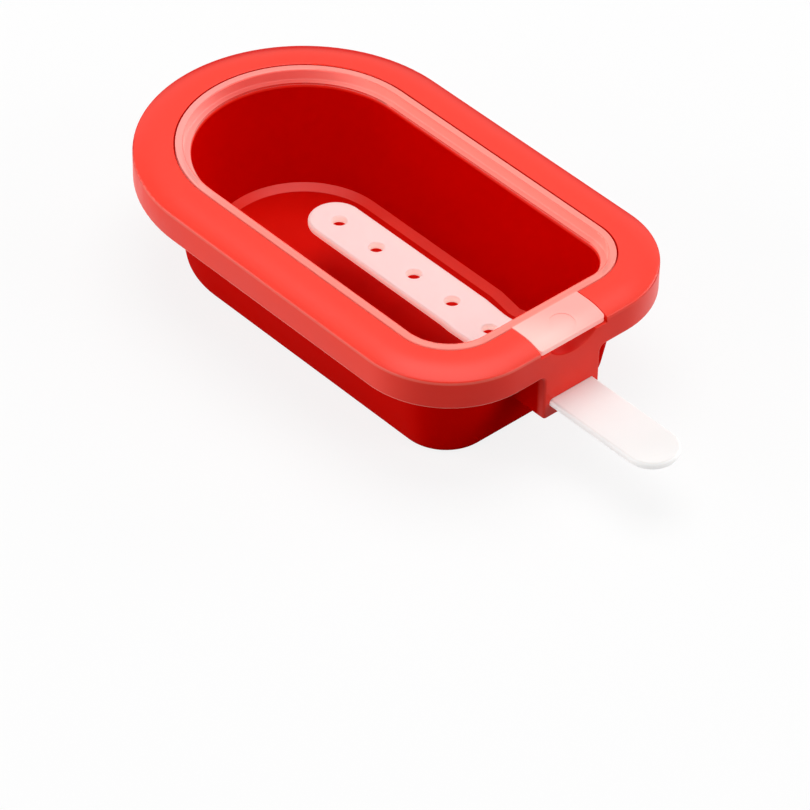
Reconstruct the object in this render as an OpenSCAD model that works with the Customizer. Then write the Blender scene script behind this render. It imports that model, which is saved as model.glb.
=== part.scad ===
// Ice pop mold: a silicone cup with a wide rounded rim, a clear press-in lid and a flat stick.
// The origin is the centre of the flat underside. +Z is up and the stick points towards -Y.
// One outline runs round everything: a half circle at the back, straight sides, and two rounded corners
// at the stick end. Each wall is a section that follows it, at its own distance in from the rim's edge.

/* [Rim] */
// Width over the rim
rim_w = 75; // [68:1:90]
// Length over the rim, without the stick
rim_l = 123; // [110:1:150]
// Radius of the rim's two corners at the stick end
front_r = 22; // [18:1:28]
// Thickness of the rim
rim_t = 8.5; // [7:0.5:11]
// Width of the flat part of the rim's top, next to the lid
flat_w = 2.85; // [2:0.05:4]
// Width of the outer part of the rim's top, which rounds over
crown_w = 6.2; // [5:0.1:7]
// Radius of that rounding
crown_r = 14; // [10:0.5:20]
// Radius on the rim's outer edges and on the edges of the stick's block
edge_r = 0.6; // [0.3:0.1:0.8]
// Radius on the rim's inner edge and on the lip of the lid's seat
lip_r = 0.3; // [0.1:0.05:0.4]

/* [Cup] */
// Height from the underside to the top of the rim
height = 30.3; // [27:0.1:40]
// Lean of the cup's outer wall, in degrees
body_lean = 10; // [5:0.5:12]
// Radius round the underside
base_r = 2.2; // [1:0.1:3]
// Radius in the corner between the outer wall and the rim
under_r = 2; // [1:0.1:3]
// Thickness of the floor
floor_t = 1.7; // [1.2:0.1:4]
// Lean of the cavity's wall, in degrees
cavity_lean = 10.2; // [8:0.1:15]
// Width of the sloping band between the cavity's floor and its wall
band_w = 1.8; // [1:0.1:3]
// Height of that band
band_h = 1.1; // [0.6:0.1:2]
// Clearance round the underside when it stands in the tray of another mold's lid
nest_gap = 0.4; // [0.2:0.1:1]

/* [Lid] */
// Width of the lid's flat ring
ring_w = 1.7; // [1.5:0.1:2.4]
// Thickness of the lid's ring, tray and tab
lid_t = 1; // [0.8:0.1:1.3]
// Depth of the tray
tray_d = 2.5; // [1.8:0.1:3]
// Lean of the tray's wall, in degrees
tray_lean = 4; // [1:1:8]
// Radius on the edges of the ring and in the tray's corner
lid_r = 0.4; // [0.2:0.1:0.6]
// Clearance between the lid and the rim
lid_gap = 0.25; // [0.1:0.05:0.3]
// Width of the ledge that carries the tray
ledge_w = 2.7; // [1.6:0.05:3.2]
// Width of the tab that runs out over the rim
tab_w = 18.4; // [16:0.2:20]
// Distance from the rim's outer face in to the tab's end
tab_in = 0.35; // [0.2:0.05:1]
// Radius of the tab's two outer corners
tab_r = 0.8; // [0.5:0.1:3]
// Width of the round moulding mark on the tab
mark_d = 5.8; // [5:0.2:6.2]
// Distance from the rim's outer face in to the middle of the mark
mark_in = 3.8; // [3.6:0.1:5]
// Depth of the mark
mark_h = 0.15; // [0.1:0.05:0.3]

/* [Finger scoop] */
// Width of the scoop at the tab's lower edge
scoop_w = 12.4; // [10:0.2:16]
// Height of the scoop below the tab's lower edge
scoop_h = 2.4; // [2:0.1:3.5]
// Depth of the scoop at the tab's lower edge
scoop_d = 2.6; // [1.5:0.1:3]

/* [Stick's block] */
// Width of the block under the rim
holder_w = 15.8; // [15:0.1:20]
// Height of the block, from its underside up to the rim
holder_h = 11.7; // [10.5:0.1:14]
// Radius on the block's two lower corners
holder_r = 0.9; // [0.9:0.1:2]
// Radius between the block's sides and the rim
root_r = 1.4; // [0.8:0.1:2]
// Clearance between the stick and its slot
slot_gap = 0.15; // [0.1:0.05:0.3]

/* [Stick] */
// Width of the stick
stick_w = 12.4; // [11:0.2:13]
// Thickness of the stick
stick_t = 1.9; // [1.6:0.1:2.8]
// Length of the stick
stick_l = 111.3; // [100:0.1:125]
// Length of the stick outside the block
stick_out = 30.1; // [24:0.1:38]
// Distance from the block's underside up to the slot
slot_up = 2.65; // [1.5:0.05:5]
// Radius on the stick's long edges
stick_r = 0.7; // [0.3:0.1:0.7]
// Width of the round holes in the stick
hole_d = 3.2; // [2.4:0.1:4]
// Radius on the holes' edges
hole_r = 0.4; // [0.1:0.1:0.6]
// Number of holes
hole_n = 5; // [3:1:6]
// Distance from one hole to the next
hole_pitch = 12.2; // [10:0.1:13]
// Distance from the stick's inner end to the middle of the first hole
hole_first = 7.2; // [6:0.1:10]

/* [Hidden] */
$fn = 96;
// How far a section is filled inwards: more than any outline here is wide
DEEP = 200;
// How far a cut runs past the face that it opens
PAST = 1;

// The outline's bends and where they are centred
end_r = rim_w / 2;
front_y = -rim_l / 2;
back_y = rim_l / 2 - end_r;
corner_x = end_r - front_r;
corner_y = front_y + front_r;

// Heights
under_z = height - rim_t;
panel_z = height - tray_d;
seat_z = panel_z - lid_t;
holder_z = under_z - holder_h;
stick_z = holder_z + slot_up + slot_gap + stick_t / 2;

// Distances in from the rim's outer edge
seat_in = crown_w + flat_w;
lid_in = seat_in + lid_gap;
ring_in = lid_in + ring_w;
tray_foot_in = ring_in + tray_d * tan(tray_lean);
seat_foot_in = tray_foot_in - (lid_t + lid_gap) / cos(tray_lean);
cavity_in = seat_foot_in + ledge_w;
cavity_foot_in = cavity_in + (seat_z - floor_t) * tan(cavity_lean);
body_foot_in = tray_foot_in + nest_gap;
body_in = body_foot_in - under_z * tan(body_lean);

// The rim's top rounds over about crown_z, and edge_r then takes it into the outer face, from edge_x to edge_z.
crown_z = height - crown_r;
edge_z = crown_z + sqrt(pow(crown_r - edge_r, 2) - pow(crown_w - edge_r, 2));
edge_x = crown_r * (crown_w - edge_r) / (crown_r - edge_r) - crown_w;
function crown_at_edge(drop) = crown_z + sqrt(pow(crown_r - drop, 2) - pow(crown_w, 2));

// How far along both faces a radius r reaches from the corner of a level face and a wall with this lean
function reach(r, lean) = r * tan(45 - lean / 2);

// A rectangle from its left, right, lower and upper sides
module box(x0, x1, y0, y1) {
    translate([x0, y0]) square([x1 - x0, y1 - y0]);
}

// The sliver between a corner at the origin and the radius that rounds it.
// The corner's faces run level to the right, and down with the wall's lean.
module sliver(r, lean = 0) {
    t = reach(r, lean);
    difference() {
        polygon([[0, 0], [t, 0], [t, -r], [-t * sin(lean), -t * cos(lean)]]);
        translate([t, -r]) circle(r);
    }
}

// What lies inwards of a wall that leans out on its way up, from a rounded foot at x
module basin(x, z0, z1, lean, r) {
    difference() {
        polygon([[-DEEP, z0], [x, z0], [x + (z1 - z0) * tan(lean), z1], [-DEEP, z1]]);
        translate([x, z0]) rotate(180) sliver(r, lean);
    }
}

// What lies below the rim's top, or below that top lowered by drop
module below_crown(drop = 0) {
    box(-DEEP, -crown_w, crown_z, height - drop);
    translate([-crown_w, crown_z]) circle(crown_r - drop);
}

// Carries a section round the outline. Its x is 0 at the rim's outer edge and negative inside it.
module around() {
    translate([0, back_y, 0]) rotate_extrude(angle = 180) outside(end_r) children();
    translate([0, back_y, 0]) rotate([90, 0, 0]) linear_extrude(back_y - corner_y) {
        outside(end_r) children();
        mirror([1, 0]) outside(end_r) children();
    }
    for (side = [0, 1]) mirror([side, 0, 0])
        translate([corner_x, corner_y, 0]) rotate([0, 0, -90])
            rotate_extrude(angle = 90) outside(front_r) children();
    translate([0, corner_y, 0]) rotate([90, 0, -90]) linear_extrude(2 * corner_x, center = true)
        outside(front_r) children();
}

// The part of a section that lies outside the middle of a bend of radius r
module outside(r) {
    intersection() {
        translate([r, 0]) children();
        box(0, DEEP, -DEEP, DEEP);
    }
}

// Carries a section across the middle of the stick end, over a width w
module across(w) {
    translate([0, front_y, 0]) rotate([90, 0, -90]) linear_extrude(w, center = true) children();
}

// Puts what is drawn in x and height on the face at the stick end, with depth into the mold as its third axis
module on_front() {
    translate([0, front_y, 0]) multmatrix([[1, 0, 0, 0], [0, 0, 1, 0], [0, 1, 0, 0]]) children();
}

module rim_section() {
    intersection() {
        below_crown();
        box(-DEEP, edge_x, under_z + edge_r, height);
    }
    box(edge_x, 0, under_z + edge_r, edge_z);
    translate([-edge_r, edge_z]) circle(edge_r);
    difference() {
        box(-DEEP, 0, under_z, under_z + edge_r);
        translate([0, under_z]) rotate(180) sliver(edge_r);
    }
}

module body_section() {
    basin(-body_foot_in, 0, under_z, body_lean, base_r);
    translate([-body_in, under_z]) sliver(under_r, body_lean);
}

// The cavity, the lid's seat above it and the rounded lips of both
module hollow_section() {
    polygon([[-DEEP, floor_t], [-cavity_foot_in - band_w, floor_t],
             [band_h * tan(cavity_lean) - cavity_foot_in, floor_t + band_h],
             [-cavity_in, seat_z], [-DEEP, seat_z]]);
    translate([-cavity_in, seat_z]) sliver(lip_r, cavity_lean);
    basin(-seat_foot_in, seat_z, height, tray_lean, lid_r / 2);
    box(-DEEP, -seat_in, height - lid_t - lid_gap, height);
    translate([-seat_in, height]) sliver(lip_r);
}

// The stick's block as seen from the front. It runs up behind the radius on the rim's lower edge.
module holder_face() {
    intersection() {
        holder_side();
        mirror([1, 0]) holder_side();
    }
}

module holder_side() {
    half = holder_w / 2;
    basin(half, holder_z, under_z, 0, holder_r);
    translate([half, under_z]) sliver(root_r);
    box(-DEEP, half + root_r, under_z, under_z + edge_r);
}

// Takes the sharp edge off the block's face, on one side and then on the other: round the corner under
// the rim, down the side, round the lower corner, and half way along the bottom
module holder_edges() {
    half = holder_w / 2;
    for (side = [0, 1]) mirror([side, 0, 0]) {
        translate([half + root_r, under_z - root_r, 0]) rotate([0, 0, 90])
            rotate_extrude(angle = 90) translate([root_r, 0]) edge_sliver();
        translate([half, under_z - root_r, 0]) rotate([90, 0, 0])
            linear_extrude(holder_h - root_r - holder_r) mirror([1, 0]) edge_sliver();
        translate([half - holder_r, holder_z + holder_r, 0]) rotate([0, 0, -90])
            rotate_extrude(angle = 90) translate([holder_r, 0]) mirror([1, 0]) edge_sliver();
        translate([0, holder_z, 0]) rotate([90, 0, 90]) linear_extrude(half - holder_r) edge_sliver();
    }
}

// The same sliver with the solid on the far side of the face
module edge_sliver() {
    mirror([0, 1]) sliver(edge_r);
}

// The hollow in the rim that the tab lies in
module tab_seat() {
    across(tab_w + 2 * lid_gap) difference() {
        box(-ring_in, PAST, crown_z, height + PAST);
        below_crown(lid_t + lid_gap);
    }
}

// A shallow dish in the rim's outer face with its mouth rounded, cut by a ball that stands out of the face
module scoop() {
    top_z = crown_at_edge(lid_t + lid_gap);
    mouth_r = (pow(scoop_w / 2, 2) + pow(scoop_h, 2)) / (2 * scoop_h);
    up = mouth_r - scoop_h;
    out = (pow(mouth_r, 2) - pow(up, 2) - pow(scoop_d, 2)) / (2 * scoop_d);
    ball_r = norm([mouth_r, out]);
    lip_x = sqrt(pow(ball_r + edge_r, 2) - pow(out + edge_r, 2));
    share = ball_r / (ball_r + edge_r);
    intersection() {
        on_front() translate([0, top_z + up, 0]) rotate_extrude() {
            intersection() {
                translate([0, -out]) circle(ball_r);
                box(0, ball_r, -PAST, ball_r);
            }
            difference() {
                polygon([[0, -PAST], [lip_x, -PAST], [lip_x, edge_r],
                         [lip_x * share, (out + edge_r) * share - out], [0, 0]]);
                translate([lip_x, edge_r]) circle(edge_r);
            }
        }
        across(tab_w) box(-end_r, PAST, holder_z, height + PAST);
    }
}

// A rounded rectangle about the origin
module flat_oval(w, t, r) {
    for (side = [0, 1]) mirror([side, 0]) half_oval(w, t, r);
}

module half_oval(w, t, r) {
    box(0, w / 2 - r, -t / 2, t / 2);
    box(0, w / 2, r - t / 2, t / 2 - r);
    for (z = [-1, 1]) translate([w / 2 - r, z * (t / 2 - r)]) circle(r);
}

// The block's slot, out to the cavity
module slot() {
    on_front() translate([0, stick_z, -PAST]) linear_extrude(PAST + cavity_foot_in)
        flat_oval(stick_w + 2 * slot_gap, stick_t + 2 * slot_gap, stick_r + slot_gap);
}

module mold() {
    color([0.93, 0.15, 0.13]) difference() {
        union() {
            around() {
                rim_section();
                body_section();
            }
            on_front() difference() {
                linear_extrude(cavity_in) holder_face();
                holder_edges();
            }
        }
        around() hollow_section();
        tab_seat();
        scoop();
        slot();
    }
}

// The lid's ring and tray
module lid_section() {
    difference() {
        union() {
            box(-ring_in, -lid_in, height - lid_t, height);
            basin(-seat_foot_in - lid_gap / cos(tray_lean), seat_z, height, tray_lean, lid_r);
        }
        basin(-tray_foot_in, panel_z, height + PAST, tray_lean, lid_r);
        translate([-ring_in, height]) sliver(lid_r, tray_lean);
        translate([-lid_in, height]) mirror([1, 0]) sliver(lid_r / 2);
    }
}

// The tab keeps its thickness under the rim's rounded top, and its mark is sunk evenly into it.
module tab() {
    from_y = front_y + lid_in + ring_w / 2;
    end_y = front_y + tab_in;
    intersection() {
        across(tab_w) difference() {
            below_crown();
            below_crown(lid_t);
        }
        translate([0, 0, crown_z]) linear_extrude(crown_r) {
            box(-tab_w / 2, tab_w / 2, end_y + tab_r, from_y);
            box(tab_r - tab_w / 2, tab_w / 2 - tab_r, end_y, from_y);
            for (side = [-1, 1]) translate([side * (tab_w / 2 - tab_r), end_y + tab_r]) circle(tab_r);
        }
    }
}

module mark() {
    difference() {
        translate([0, front_y + mark_in, crown_z]) cylinder(d = mark_d, h = crown_r + PAST);
        across(tab_w) below_crown(mark_h);
    }
}

module lid() {
    color([0.95, 0.93, 0.92, 0.35]) difference() {
        union() {
            around() lid_section();
            tab();
        }
        mark();
    }
}

module stick() {
    tip_y = front_y - stick_out;
    inner_y = tip_y + stick_l;
    color([0.98, 0.96, 0.94]) translate([0, 0, stick_z]) difference() {
        union() {
            translate([0, inner_y - stick_w / 2, 0]) {
                rotate_extrude(angle = 180) half_oval(stick_w, stick_t, stick_r);
                rotate([90, 0, 0]) linear_extrude(stick_l - stick_w) flat_oval(stick_w, stick_t, stick_r);
            }
            translate([0, tip_y + stick_w / 2, 0]) rotate([0, 0, 180])
                rotate_extrude(angle = 180) half_oval(stick_w, stick_t, stick_r);
        }
        for (i = [0:hole_n - 1]) translate([0, inner_y - hole_first - i * hole_pitch, 0]) hole();
    }
}

// A hole through the stick with both its edges rounded
module hole() {
    rotate_extrude() {
        box(0, hole_d / 2, -stick_t / 2 - PAST, stick_t / 2 + PAST);
        for (side = [0, 1]) mirror([0, side]) translate([hole_d / 2, stick_t / 2]) sliver(hole_r);
    }
}

mold();
lid();
stick();
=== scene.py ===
# %% [markdown]
# # Ice pop mold
# The object is a red silicone cup with a wide rounded rim, a clear lid that is pressed into the rim, and
# a white stick that goes through a slot under the rim. The solids come from the CAD model, at their real
# size, and this file gives them their finishes, their light and the camera.

import math

import bpy
from mathutils import Matrix, Vector


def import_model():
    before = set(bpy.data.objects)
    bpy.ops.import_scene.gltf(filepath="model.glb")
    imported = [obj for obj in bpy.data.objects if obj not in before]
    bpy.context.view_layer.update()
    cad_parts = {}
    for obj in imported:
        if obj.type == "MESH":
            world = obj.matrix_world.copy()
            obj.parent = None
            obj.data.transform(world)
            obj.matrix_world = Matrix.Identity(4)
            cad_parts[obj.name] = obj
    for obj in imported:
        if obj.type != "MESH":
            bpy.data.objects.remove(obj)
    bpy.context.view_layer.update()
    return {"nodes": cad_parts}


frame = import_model()
nodes = frame["nodes"]
print("nodes:", {name: len(o.data.polygons) for name, o in nodes.items()})

# %% [markdown]
# ## The camera
# A product photograph is taken with a long lens from some way off, so that the long sides of the rim stay
# nearly parallel. A camera could be turned by eye until the picture fits. Here its place and turn were
# worked out from the rim's outline, whose shape is known: they are a place in the frame, the two angles
# that it looks along, and a small roll.

# %% The camera
CAMERA_AT = Vector((-0.55052, -0.60890, 0.66222))
LOOKS_FROM = math.radians(-42.591)
LOOKS_DOWN = math.radians(40.102)
ROLL = math.radians(1.283)
LENS, FILM_WIDTH = 214.45, 36
NEAREST, FARTHEST = 0.05, 20


def camera_turn(azimuth, elevation, roll):
    """The camera's axes as a matrix: right, up and back, turned about back by the roll."""
    right = Vector((math.cos(azimuth), math.sin(azimuth), 0))
    flat, rise = math.cos(elevation), math.sin(elevation)
    back = Vector((math.sin(azimuth) * flat, -math.cos(azimuth) * flat, rise))
    up = back.cross(right)
    c, s = math.cos(roll), math.sin(roll)
    return Matrix((c * right + s * up, c * up - s * right, back)).transposed()


camera = bpy.data.objects.new("camera", bpy.data.cameras.new("camera"))
bpy.context.scene.collection.objects.link(camera)
camera.matrix_world = Matrix.Translation(CAMERA_AT) @ camera_turn(LOOKS_FROM, LOOKS_DOWN, ROLL).to_4x4()
camera.data.lens = LENS
camera.data.sensor_width = FILM_WIDTH
camera.data.clip_start, camera.data.clip_end = NEAREST, FARTHEST
bpy.context.scene.camera = camera
print("camera is", round(CAMERA_AT.length, 3), "m from the origin")

# %% [markdown]
# ## Shader maths
# A material's pattern is arithmetic on positions. Written as nodes it fills a page, so a small class
# wraps a socket and lets Python's own operators add the Math nodes. Most patterns here are masks: a mask
# is 1 in one place of the object and 0 in the others, with a soft step between.


# %% Wires
class Wire:
    """A value in a node tree. Adding, multiplying and so on make Math nodes."""

    def __init__(self, tree, socket):
        self.tree, self.socket = tree, socket

    def maths(self, operation, a, b=0.0):
        return wire(self.tree, "ShaderNodeMath", {"operation": operation}, **{"0": a, "1": b})

    def __add__(self, other):
        return self.maths("ADD", self, other)

    def __sub__(self, other):
        return self.maths("SUBTRACT", self, other)

    def __rsub__(self, other):
        return self.maths("SUBTRACT", other, self)

    def __mul__(self, other):
        return self.maths("MULTIPLY", self, other)

    __radd__, __rmul__ = __add__, __mul__

    def __abs__(self):
        return self.maths("ABSOLUTE", self)

    def at_least(self, other):
        return self.maths("MAXIMUM", self, other)

    def at_most(self, other):
        return self.maths("MINIMUM", self, other)

    def hypot(self, other):
        """The length of a step that goes this far one way and the other far across it."""
        return self.maths("SQRT", self * self + other * other)

    def over(self, low, high, to_low=0.0, to_high=1.0):
        """0 below low and 1 above high, with a smooth step between, or the two given values."""
        ends = {"From Min": low, "From Max": high, "To Min": to_low, "To Max": to_high}
        return wire(self.tree, "ShaderNodeMapRange", {"interpolation_type": "SMOOTHSTEP"}, Value=self, **ends)

    def below(self, low, high):
        """1 below low and 0 above high."""
        return 1 - self.over(low, high)

    def between(self, rise, fall):
        """0, then up to 1 over the span of the rise, then back to 0 over the span of the fall."""
        return self.over(*rise) * self.below(*fall)

    def blend(self, a, b):
        """The colour a where this is 0 and b where it is 1."""
        return wire(self.tree, "ShaderNodeMix", {"data_type": "RGBA"}, 2, **{"Factor": self, "6": a, "7": b})


def add_node(tree, kind, settings=None, **values):
    """Adds a node: its settings first, then a value or a wire for each socket, by name or by number."""
    made = tree.nodes.new(kind)
    for name, value in (settings or {}).items():
        setattr(made, name, value)
    for name, value in values.items():
        socket = made.inputs[int(name) if name.isdigit() else name]
        if isinstance(value, Wire):
            tree.links.new(value.socket, socket)
        elif isinstance(value, tuple) and len(value) == 3 and socket.type == "RGBA":
            socket.default_value = (*value, 1.0)
        else:
            socket.default_value = value
    return made


def wire(tree, kind, settings=None, out=0, **values):
    """Adds a node in the same way, and gives a wire from one of its outputs, by name or by number."""
    return Wire(tree, add_node(tree, kind, settings, **values).outputs[out])


print("a wire can be", [name for name in vars(Wire) if not name.startswith("_")])

# %% [markdown]
# ## Materials
# Every material here starts empty, reads where it is on the object, and ends in one shader. Object
# coordinates are used because they stay with a piece when it moves. The three axes are turned into
# millimetres, so that a mask's numbers are the same as the CAD model's.

# %% Materials
MM = 0.001


def new_material(name):
    """A material with an empty tree."""
    material = bpy.data.materials.new(name)
    material.use_nodes = True
    material.node_tree.nodes.clear()
    return material, material.node_tree


def position(tree):
    """Where a point is on the object: one wire for all of it in metres, then x, y and z in millimetres."""
    place = wire(tree, "ShaderNodeTexCoord", None, "Object")
    split = add_node(tree, "ShaderNodeSeparateXYZ", Vector=place)
    return place, *(Wire(tree, axis) * (1 / MM) for axis in split.outputs)


def mix_shaders(factor, a, b):
    """The shader a where the factor is 0 and b where it is 1."""
    return wire(factor.tree, "ShaderNodeMixShader", **{"0": factor, "1": a, "2": b})


def surface(tree, shader):
    """Ends a material's tree with its one shader."""
    add_node(tree, "ShaderNodeOutputMaterial", Surface=shader)


def rgb(text):
    """A colour as written on the web, turned into the linear values that a shader works with."""
    parts = [int(text[i : i + 2], 16) / 255 for i in (1, 3, 5)]
    return tuple(p / 12.92 if p <= 0.04045 else ((p + 0.055) / 1.055) ** 2.4 for p in parts)


print("half grey is", round(rgb("#808080")[0], 3), "of white's light")

# %% [markdown]
# ## The rim's outline
# Everything on this object follows the rim: a half circle at the back and two rounded corners at the stick
# end. A mask that follows it too could be painted by hand, but it would never lie quite true. Here it
# comes from one number, the distance in from the rim's outer face, which is worked out from the bends.

# %% The rim's outline
END_R, BACK_Y = 37.5, 24.0
FRONT_R, CORNER_X, CORNER_Y = 22.0, 15.5, -39.5


def inset(x, y):
    """Distance in from the rim's outer face: each bend's radius less the distance from its centre."""
    back = END_R - x.hypot((y - BACK_Y).at_least(0.0))
    front = FRONT_R - (abs(x) - CORNER_X).at_least(0.0).hypot((CORNER_Y - y).at_least(0.0))
    return back.at_most(front)


print("rim is", 2 * END_R, "mm wide and", BACK_Y + END_R - CORNER_Y + FRONT_R, "mm long")

# %% [markdown]
# ## Patches and grain
# No moulded surface is quite even. The polish of the tool differs a little from patch to patch, and it
# leaves a fine grain. Noise gives both: wide noise varies the colour and the gloss, and fine noise tilts
# the surface a little through a Bump node.

# %% Patches and grain
PATCH_SPAN = (0.3, 0.7)
GRAIN_DEPTH = 0.1 * MM


def noise(place, size, detail=2.0):
    """Smooth noise about 0.5, whose bumps are about size millimetres across."""
    return wire(place.tree, "ShaderNodeTexNoise", None, "Fac", Vector=place, Scale=1.0 / (size * MM), Detail=detail)


def grain(place, size, strength):
    """The surface's direction, tilted a little by fine noise."""
    fine = noise(place, size, detail=3.0)
    return wire(place.tree, "ShaderNodeBump", Strength=strength, Distance=GRAIN_DEPTH, Height=fine)


SILICONE_PATCH, SILICONE_GRAIN = 18.0, 0.6
STICK_PATCH, STICK_GRAIN = 12.0, 0.4
print("patches in mm:", SILICONE_PATCH, STICK_PATCH, "grain in mm:", SILICONE_GRAIN, STICK_GRAIN)

# %% [markdown]
# ## Where the silicone is dull and shaded
# The mould is one piece of one material, but it doesn't look alike all over. The rim is satin. The cavity,
# the cup's outside, the rim's underside and the finger scoop are dull, and there the colour is a deeper red,
# which is painted shade for places that lie in hollows or under the rim. The narrow band that slopes round
# the cavity's floor has some of the gloss and the lighter red back. Separate materials would need the faces
# sorted by hand, so one mask says how dull and shaded each point is. It is made of the distance in from the
# rim and the height, each with a span in millimetres over which the mask goes from 0 to 1 or back.

# %% The cavity and the underside
CAVITY_IN, CAVITY_LOW, CAVITY_HIGH = (12.0, 12.8), (1.0, 1.5), (26.0, 26.5)
BAND_START, BAND_END, BAND_TOP = (16.85, 16.95), (18.85, 19.0), (2.8, 2.9)
FLOOR_START, FLOOR_TOP = (18.9, 19.0), (1.8, 1.9)
UNDER_IN, UNDER_TOP = (1.0, 3.0), (21.3, 21.8)
BAND_GLOSS, FLOOR_GLOSS = 0.75, 0.15
# The cup's outside and the rim's underside take nearly all of the painted shade.
UNDER_DULL_AND_SHADE = 0.95


def dull_and_shaded_inside(z, into):
    """The cavity, less on its band and its floor, which get some gloss and lighter red back, and the cup's outside
    and the rim's underside: dull, with painted shade.
    """
    cavity = into.over(*CAVITY_IN) * z.between(CAVITY_LOW, CAVITY_HIGH)
    band = into.between(BAND_START, BAND_END) * z.below(*BAND_TOP)
    cavity_floor = into.over(*FLOOR_START) * z.below(*FLOOR_TOP)
    under = into.over(*UNDER_IN) * z.below(*UNDER_TOP) * (1 - cavity)
    return cavity * (1 - BAND_GLOSS * band - FLOOR_GLOSS * cavity_floor) + UNDER_DULL_AND_SHADE * under


print("the mask of the cavity's band is", round(BAND_END[0] - BAND_START[0], 2), "mm wide")

# %% The scoop, the straight end and the lid's gap
SCOOP_Y, SCOOP_Z, SCOOP_R = -67.59, 34.25, 11.04
SCOOP_EDGE = (SCOOP_R + 0.05, SCOOP_R + 0.25)
# The scoop under the tab and the straight end are dull and take painted shade.
SCOOP_ACROSS, SCOOP_LEFT_DULL_AND_SHADE, SCOOP_RIGHT_DULL_AND_SHADE = (-1.0, 4.5), 0.85, 0.5
FRONT_Y, FRONT_X, FRONT_TOP = (-53.5, -41.5), (12.0, 22.0), (27.8, 28.6)
FRONT_DULL_AND_SHADE = 0.3
# The gap round the lid is dull and darker: painted shade.
GAP_START, GAP_END, GAP_LOW = (8.9, 9.0), (9.5, 9.6), (28.6, 29.0)


def dull_and_shaded_end(x, y, z):
    """The scoop, cut by a ball, laid over the straight end and its left corner, which are slightly dull: all of it
    with painted shade, the scoop most on its left.
    """
    from_ball = x.hypot((y - SCOOP_Y).hypot(z - SCOOP_Z))
    scoop = from_ball.below(*SCOOP_EDGE) * x.over(*SCOOP_ACROSS, SCOOP_LEFT_DULL_AND_SHADE, SCOOP_RIGHT_DULL_AND_SHADE)
    front = y.below(*FRONT_Y) * x.below(*FRONT_X) * z.below(*FRONT_TOP)
    return scoop.at_least(FRONT_DULL_AND_SHADE * front)


def lid_gap_shade(z, into):
    """The narrow gap between the lid and the rim, where little light gets in: painted shade there."""
    return into.between(GAP_START, GAP_END) * z.over(*GAP_LOW)


print("the scoop is cut by a ball", 2 * SCOOP_R, "mm across")

# %% [markdown]
# ## The rim's edges and its top
# Two things about light on the rim are left to masks as well. The small radii on its outer edges catch
# light in thin bright lines, which a picture of this size shows only if the colour itself is paler there, so
# these lines are painted highlights.
# And the far side of the rim's top, which is looked along, has to stay red, so it is made duller by how
# nearly the look runs along it, which the Fresnel node measures; with that it also takes the deeper red
# of the painted shade.

# %% The rim's edges and its top
RIM_FACE = (0.45, 0.7)
LOW_EDGE, HIGH_EDGE = ((21.7, 21.8), (22.15, 22.35)), ((28.1, 28.3), (28.7, 28.85))
BESIDE_BLOCK, BEHIND_BLOCK, LEFT_SIDE = (9.0, 10.0), (-50.0, -48.0), (-10.0, 10.0)
# How strong the painted highlights on the rim's low and high edges are.
LOW_EDGE_HIGHLIGHT, HIGH_EDGE_HIGHLIGHT = 0.8, 0.35
SILICONE_IOR = 1.45
GRAZING_SPAN, GRAZING_DULL, GRAZING_LOW = (0.06, 0.22), 0.75, (28.0, 28.8)


def edge_highlights(x, y, z, into):
    """The painted highlights on the rim's two outer edges, in lines half a millimetre high, and not on the block.
    """
    face = into.below(*RIM_FACE)
    off_block = abs(x).over(*BESIDE_BLOCK).at_least(y.over(*BEHIND_BLOCK))
    low = face * off_block * z.between(*LOW_EDGE)
    high = face * x.below(*LEFT_SIDE) * z.between(*HIGH_EDGE)
    return LOW_EDGE_HIGHLIGHT * low + HIGH_EDGE_HIGHLIGHT * high


def dull_grazing(z):
    """The rim's top where it is looked along: the real one shows less gloss there than the shader gives, and here
    it also takes the dull shader's painted-shade red.
    """
    fresnel = wire(z.tree, "ShaderNodeFresnel", IOR=SILICONE_IOR)
    return fresnel.over(*GRAZING_SPAN, 0.0, GRAZING_DULL) * z.over(*GRAZING_LOW)


print("the rim's edges lie between", LOW_EDGE[0][0], "and", HIGH_EDGE[1][1], "mm up")

# %% [markdown]
# ## Silicone
# Moulded silicone is soft looking: light goes a little way in and comes out again. So the satin shader is
# red with a broad gloss and some subsurface scatter, which is widest for red light. The dull shader has no
# gloss at all, because even a faint pale gloss would hide the deep red that the real cavity shows, and its
# deeper red is painted shade. A Mix Shader lays one over the other by the masks above.

# %% Silicone
SATIN_REDS = rgb("#F62F17"), rgb("#FA3219")
# The deeper reds of the dull shader are painted shade, for the places that lie in hollows or under the rim.
SHADED_REDS = rgb("#D20300"), rgb("#D60400")
# The pink of the rim's edges is a painted highlight, and the dark red in the lid's gap is painted shade.
EDGE_HIGHLIGHT_PINK, GAP_SHADE_RED = rgb("#FF8C7A"), rgb("#B40500")
SATIN_ROUGHNESS = (0.36, 0.42)


def satin_silicone(place, patch, normal, edges):
    """Red with a broad gloss, and a painted highlight on the rim's edges."""
    values = {
        "Base Color": edges.blend(patch.over(*PATCH_SPAN).blend(*SATIN_REDS), EDGE_HIGHLIGHT_PINK),
        "Roughness": patch.over(*PATCH_SPAN, *SATIN_ROUGHNESS),
        "Specular IOR Level": 0.4,
        "Subsurface Weight": 0.15,
        "Subsurface Scale": 3.0 * MM,
        "Subsurface Radius": (1.0, 0.12, 0.08),
        "Normal": normal,
    }
    return wire(place.tree, "ShaderNodeBsdfPrincipled", **values)


def dull_shaded_silicone(place, patch, normal, gap):
    """A deeper red with no gloss, which is painted shade, and darker still in the gap round the lid: painted shade
    there too.
    """
    values = {
        "Base Color": gap.blend(patch.over(*PATCH_SPAN).blend(*SHADED_REDS), GAP_SHADE_RED),
        "Roughness": 0.6,
        "Specular IOR Level": 0.0,
        "Normal": normal,
    }
    return wire(place.tree, "ShaderNodeBsdfPrincipled", **values)


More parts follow.
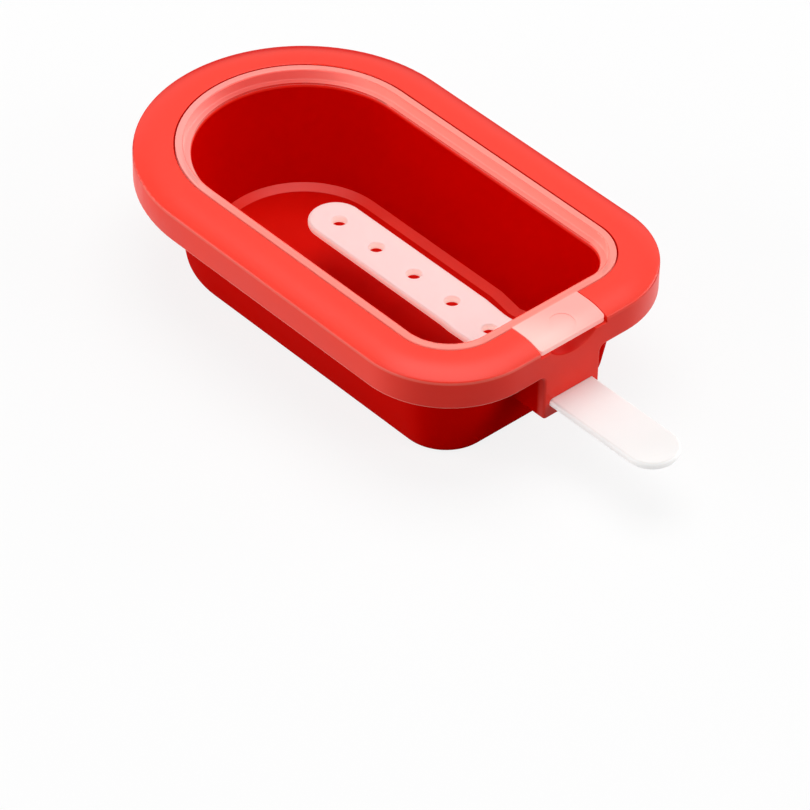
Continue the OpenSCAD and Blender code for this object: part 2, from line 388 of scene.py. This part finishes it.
def silicone():
    material, tree = new_material("red_silicone")
    place, x, y, z = position(tree)
    into = inset(x, y)
    patch = noise(place, SILICONE_PATCH)
    normal = grain(place, SILICONE_GRAIN, strength=0.06)
    gap = lid_gap_shade(z, into)
    satin = satin_silicone(place, patch, normal, edge_highlights(x, y, z, into))
    dull = dull_shaded_silicone(place, patch, normal, gap)
    # How much of the dull shader each point takes, and with it how much painted shade.
    how_dull_and_shaded = dull_and_shaded_inside(z, into) + dull_and_shaded_end(x, y, z) + gap + dull_grazing(z)
    surface(tree, mix_shaders(how_dull_and_shaded.at_most(1.0), satin, dull))
    print(material.name, "has", len(tree.nodes), "nodes")
    return material


# %% [markdown]
# ## Clear plastic
# The lid is clear. Where it is looked through square on, as at the panel, it hardly shows. The ring and
# the tab lie close on the silicone and look milky and pale, as clear plastic on a bright colour does.
# A glass shader would darken what lies under it, because few of the rays that look for a lamp find a way
# through two bending surfaces. So the clear part bends what the camera sees but lets light straight
# through, and a milky shader lies over it by a mask.

# %% Where the lid is milky
PANEL_IN, TAB_Y, WALL_TOP = (12.4, 12.7), (-52.5, -52.1), (29.8, 30.2)
MILKY, WALL_MILKY, TAB_MILKY = 0.62, 0.04, 0.23
LID_IOR = 1.49
SHINE_FROM, SHINE = 0.07, 0.8


def milkiness(y, z, into):
    """The ring and its wall, more so on the tab, and a little more wherever the lid is looked along."""
    wall = z.below(*WALL_TOP)
    milky = (MILKY + WALL_MILKY * wall) * into.below(*PANEL_IN) + TAB_MILKY * y.below(*TAB_Y)
    fresnel = wire(z.tree, "ShaderNodeFresnel", IOR=LID_IOR)
    shine = (fresnel - SHINE_FROM).at_least(0.0) * SHINE
    return (milky + shine).at_most(1.0)


print("the panel starts", PANEL_IN[1], "mm in from the rim")

# %% [markdown]
# ## The lid's painted colours
# The ring and the tab are painted pink, for the red light that comes up through the milky plastic from the
# rim under it. The pink isn't even: the tab is palest at its outer left corner; the ring is palest at its
# back left, a painted highlight; and the ring's inner wall at the far end is painted nearly red, for the
# silicone seen through it. Each is a blend of two colours by a mask.

# %% The lid's painted colours
# The lid's pinks are painted light from the red silicone under it; the ring's paler pink is a painted highlight,
# and the far wall's red is painted, for the silicone seen through it.
RING_PINKS_AND_HIGHLIGHT, WALL_RED_SEEN_THROUGH = (rgb("#FFACA4"), rgb("#FF9F92")), rgb("#EA6A62")
TAB_PINKS = rgb("#FFAAA2"), rgb("#FFC6BE")
RING_CENTRE_X, RING_CENTRE_Y, RING_FADE = -8.0, 35.0, (15.0, 45.0)
FAR_Y, FAR_X = (30.0, 48.0), (-15.0, 5.0)
TAB_FADE = (-66.5, -50.5)


def lid_painted_pink(x, y, z):
    """Painted pink for the red light from the silicone under it: palest at the tab's outer left corner, with a
    painted highlight at the ring's back left and painted red on the far inner wall.
    """
    from_centre = abs(x - RING_CENTRE_X) + abs(y - RING_CENTRE_Y)
    far_wall = z.below(*WALL_TOP) * y.over(*FAR_Y) * x.over(*FAR_X)
    ring = far_wall.blend(from_centre.over(*RING_FADE).blend(*RING_PINKS_AND_HIGHLIGHT), WALL_RED_SEEN_THROUGH)
    return y.below(*TAB_Y).blend(ring, (x + y).below(*TAB_FADE).blend(*TAB_PINKS))


print("the tab starts at y =", TAB_Y[1], "mm")

# %% [markdown]
# ## The lid's shader
# The two parts come together here. Light also scatters inside the milky part, which a surface can't show,
# so a faint glow of the same pink takes its place.


# %% Clear plastic
def rays(tree, *kinds):
    """1 for a ray of light that is of one of these kinds, and 0 for others."""
    path = add_node(tree, "ShaderNodeLightPath")
    first, *others = (Wire(tree, path.outputs[kind]) for kind in kinds)
    return sum(others, first).at_most(1.0)


def clear_plastic():
    material, tree = new_material("clear_plastic")
    _, x, y, z = position(tree)
    pink = lid_painted_pink(x, y, z)
    milk_values = {
        "Base Color": pink,
        "Roughness": 0.3,
        "Specular IOR Level": 0.35,
        "Emission Color": pink,
        "Emission Strength": 0.2,
    }
    milk = wire(tree, "ShaderNodeBsdfPrincipled", **milk_values)
    bent = wire(tree, "ShaderNodeBsdfRefraction", Color=(1.0, 1.0, 1.0), Roughness=0.0, IOR=LID_IOR)
    straight = wire(tree, "ShaderNodeBsdfTransparent")
    clear = mix_shaders(rays(tree, "Is Shadow Ray", "Is Diffuse Ray"), bent, straight)
    surface(tree, mix_shaders(milkiness(y, z, inset(x, y)), clear, milk))
    print(material.name, "has", len(tree.nodes), "nodes")
    return material


# %% [markdown]
# ## White plastic
# The stick is an injection moulded white plastic with a fine, even satin. It lets some light through, so
# its thin edges and the walls of its holes are bright where an opaque stick's would be dark. Scatter in so
# thin a piece loses most of its light, so a faint painted glow on the walls takes its place: grey outside
# the mould and warmer inside it.

# %% White plastic
STICK_WHITES = rgb("#F9F6F4"), rgb("#FBF8F6")
# The glow on the stick's walls is painted light, grey outside the mould and warmer inside it.
NO_GLOW, WALL_GLOWS = rgb("#000000"), (rgb("#848484"), rgb("#A2928A"))
STICK_LOW, STICK_TOP = 12.9, 14.8
WALL_RISE, WALL_FALL = (STICK_LOW + 0.1, STICK_LOW + 0.4), (STICK_TOP - 0.4, STICK_TOP - 0.1)
IN_MOULD = (-60.0, -56.0)
STICK_ROUGHNESS = (0.36, 0.42)


def white_plastic():
    material, tree = new_material("white_plastic")
    place, _, y, z = position(tree)
    patch = noise(place, STICK_PATCH)
    glow = y.over(*IN_MOULD).blend(*WALL_GLOWS)
    values = {
        "Base Color": patch.over(*PATCH_SPAN).blend(*STICK_WHITES),
        "Roughness": patch.over(*PATCH_SPAN, *STICK_ROUGHNESS),
        "Subsurface Weight": 0.15,
        "Subsurface Scale": 2.0 * MM,
        "Subsurface Radius": (1.0, 0.9, 0.85),
        "Emission Color": z.between(WALL_RISE, WALL_FALL).blend(NO_GLOW, glow),
        "Emission Strength": 1.0,
        "Normal": grain(place, STICK_GRAIN, strength=0.05),
    }
    surface(tree, wire(tree, "ShaderNodeBsdfPrincipled", **values))
    print(material.name, "has", len(tree.nodes), "nodes")
    return material


# %% [markdown]
# ## Dressing the solids
# The CAD solids come as loose triangles. Shaded flat, their round faces would show facets, so the
# triangles are joined and shaded smooth. Where two faces meet at more than the angle below, the edge
# is split again and stays sharp. Both are modifiers, so the solid's own corners aren't touched.

# %% Dressing the solids
JOIN_WITHIN = 1e-6
SHARP_ANGLE = math.radians(24)


def dress(name, material):
    """Puts a finish on a CAD solid, joins its triangles and shades it smooth up to the sharp angle."""
    piece = nodes[name]
    piece.data.materials.clear()
    piece.data.materials.append(material)
    for face in piece.data.polygons:
        face.use_smooth = True
        face.material_index = 0
    weld = piece.modifiers.new("weld", "WELD")
    weld.merge_threshold = JOIN_WITHIN
    split = piece.modifiers.new("edges", "EDGE_SPLIT")
    split.split_angle = SHARP_ANGLE
    print(name, "is dressed in", material.name)


dress("mold", silicone())
dress("lid", clear_plastic())
dress("stick", white_plastic())

# %% [markdown]
# ## The floor
# The mould stands on a pale floor, which keeps its soft shadow. Lit strongly enough to look white, the
# floor would throw too much light up onto the red sides. So it is nearly white only to the rays that see
# it, from the camera, off a gloss or through the lid, and a plain grey to the light that bounces off it.

# %% The floor
STUDIO_RAYS = "Is Camera Ray", "Is Glossy Ray", "Is Transmission Ray"
WHITE = (1.0, 1.0, 1.0)
FLOOR_SEEN, FLOOR_BOUNCES, FLOOR_OWN_LIGHT = rgb("#F4F4F4"), rgb("#A6A6A6"), 0.85
FLOOR_HALF, FLOOR_DOWN = 3.0, -0.1 * MM  # in metres, as all places and sizes of objects are


def floor():
    """One square face, a tenth of a millimetre under the mould so that the two don't flicker."""
    h, d = FLOOR_HALF, FLOOR_DOWN
    mesh = bpy.data.meshes.new("floor")
    mesh.from_pydata([(-h, -h, d), (h, -h, d), (h, h, d), (-h, h, d)], [], [(0, 1, 2, 3)])
    piece = bpy.data.objects.new("floor", mesh)
    bpy.context.scene.collection.objects.link(piece)
    material, tree = new_material("floor")
    seen = rays(tree, *STUDIO_RAYS)
    paper = wire(tree, "ShaderNodeBsdfDiffuse", Color=seen.blend(FLOOR_BOUNCES, FLOOR_SEEN))
    light = wire(tree, "ShaderNodeEmission", Color=WHITE, Strength=1.0)
    surface(tree, mix_shaders(seen * FLOOR_OWN_LIGHT, paper, light))
    mesh.materials.append(material)


floor()
print("floor is", 2 * FLOOR_HALF, "m across")

# %% [markdown]
# ## The world
# The white behind the object is only what the camera and the reflections see. A white world that also
# lit the object would wash out the red, so as light it is weak.

# %% The world
WORLD_LIGHT = 0.14


def world(strength):
    """A background of strength 1 to the rays that see the studio, and of the given strength to others."""
    made = bpy.data.worlds.new("studio")
    bpy.context.scene.world = made
    made.use_nodes = True
    tree = made.node_tree
    tree.nodes.clear()
    seen = rays(tree, *STUDIO_RAYS)
    background = wire(tree, "ShaderNodeBackground", Color=WHITE, Strength=seen * (1.0 - strength) + strength)
    add_node(tree, "ShaderNodeOutputWorld", Surface=background)


world(WORLD_LIGHT)
print("the world lights the object at", WORLD_LIGHT)

# %% [markdown]
# ## The lamps
# Large soft boxes light a product evenly. The one overhead gives the rim its gloss, and the four round it
# give each side its own shade, so that the form can be read.

# %% The lamps
MIDDLE, FOOT = (0, 0, 0.02), (0, 0, 0)
LAMPS = (
    ("overhead", (0.15, 0.12, 0.96), FOOT, 0.8, 6.2),
    ("left", (-1.05, 0.2, 0.3), MIDDLE, 0.7, 4.6),
    ("front", (0.45, -0.95, 0.5), MIDDLE, 0.6, 4.2),
    ("right", (0.95, -0.3, 0.3), MIDDLE, 0.5, 3.2),
    ("back", (-0.65, 0.75, 0.3), MIDDLE, 0.3, 3.0),
)


def lamp(name, at, aim, size, watts):
    """A square soft box at a place, turned towards a point."""
    light = bpy.data.lights.new(name, "AREA")
    light.shape, light.size, light.energy = "SQUARE", size, watts
    piece = bpy.data.objects.new(name, light)
    bpy.context.scene.collection.objects.link(piece)
    piece.location = at
    piece.rotation_mode = "QUATERNION"
    piece.rotation_quaternion = (Vector(aim) - Vector(at)).to_track_quat("-Z", "Y")


for settings in LAMPS:
    lamp(*settings)
print("lamps:", len(LAMPS), "with", round(sum(settings[-1] for settings in LAMPS), 1), "watts in all")

# %% [markdown]
# ## Finish
# The Standard view shows a colour as it was written.

# %% Finish
view = bpy.context.scene.view_settings
view.view_transform = "Standard"
